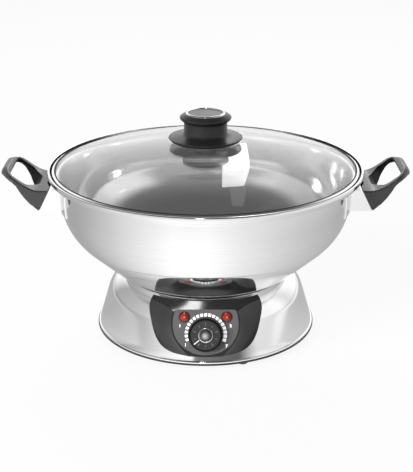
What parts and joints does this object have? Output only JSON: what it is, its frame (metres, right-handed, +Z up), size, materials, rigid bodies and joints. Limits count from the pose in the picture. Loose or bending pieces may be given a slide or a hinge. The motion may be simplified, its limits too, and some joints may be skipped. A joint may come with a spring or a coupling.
{
  "type": "electric hot pot",
  "caption": "Electric hot pot: polished steel bowl with domed glass lift-off lid and side grips, on a bell-shaped heating base with a dial and indicator lamps.",
  "frame": {"origin": "on the floor plane under the centre of the base", "axes": "+X towards the right handle, +Y away from the control panel, +Z up along the axis of the bowl"},
  "size_m": [0.4138, 0.32, 0.2315],
  "materials": {
    "polished_steel": "mirror polished",
    "bright_steel": "polished",
    "zinc_steel": "zinc plated",
    "heater_steel": "dark oxidised",
    "chrome_trim": "bright",
    "dark_brushed_steel": "dark brushed",
    "cast_aluminium": "cast",
    "brass": "nickelled",
    "clear_glass": "clear",
    "black_phenolic": "satin black",
    "black_plastic": "satin black",
    "grey_plastic": "fine texture",
    "red_lens": "translucent red",
    "white_ceramic": "unglazed",
    "black_rubber": "matt",
    "silicone": "translucent"
  },
  "bodies": {
    "pot": {"pot_bowl": "polished_steel", "bowl_studs": "zinc_steel", "stud_nuts": "zinc_steel", "heat_plate": "cast_aluminium", "heating_element": "heater_steel", "element_terminals": "brass", "thermal_fuse": "white_ceramic", "fuse_clip": "zinc_steel", "handle_right": "black_phenolic", "handle_left": "black_phenolic", "handle_bracket_right": "bright_steel", "handle_bracket_left": "bright_steel", "handle_screws": "zinc_steel", "base_shell": "polished_steel", "base_trim_ring": "black_plastic", "bottom_cover": "black_plastic", "base_lugs": "zinc_steel", "cover_screws": "zinc_steel", "rubber_feet": "black_rubber", "foot_screws": "zinc_steel", "panel_housing": "black_plastic", "panel_plate": "grey_plastic", "power_lens": "red_lens", "heat_lens": "red_lens", "indicator_lamps": "white_ceramic", "thermostat_body": "white_ceramic", "thermostat_nut": "zinc_steel", "thermostat_bracket": "zinc_steel", "bracket_screws": "zinc_steel", "power_inlet": "black_plastic", "inlet_pins": "brass", "terminal_block": "white_ceramic", "terminal_screws": "zinc_steel"},
    "lid": {"lid_glass": "clear_glass", "lid_rim_ring": "bright_steel", "lid_knob": "black_phenolic", "lid_knob_ring": "chrome_trim", "lid_knob_inlay": "dark_brushed_steel", "lid_knob_escutcheon": "bright_steel", "lid_knob_gasket": "silicone", "lid_knob_inner_gasket": "silicone", "lid_knob_washer": "bright_steel", "lid_knob_screw": "zinc_steel"},
    "dial": {"dial_knob": "black_plastic", "dial_ring": "chrome_trim", "dial_nub": "black_plastic", "thermostat_shaft": "brass"}
  },
  "joints": [
    {"name": "lid_lift", "type": "slide", "parent": "pot", "child": "lid", "axis": [0, 0, 1], "range_m": [0, 0.12]},
    {"name": "dial_turn", "type": "hinge", "parent": "pot", "child": "dial", "pos_m": [0, -0.107, 0.037], "axis": [0, 0.9563, -0.2924], "range_deg": [0, 256]}
  ]
}
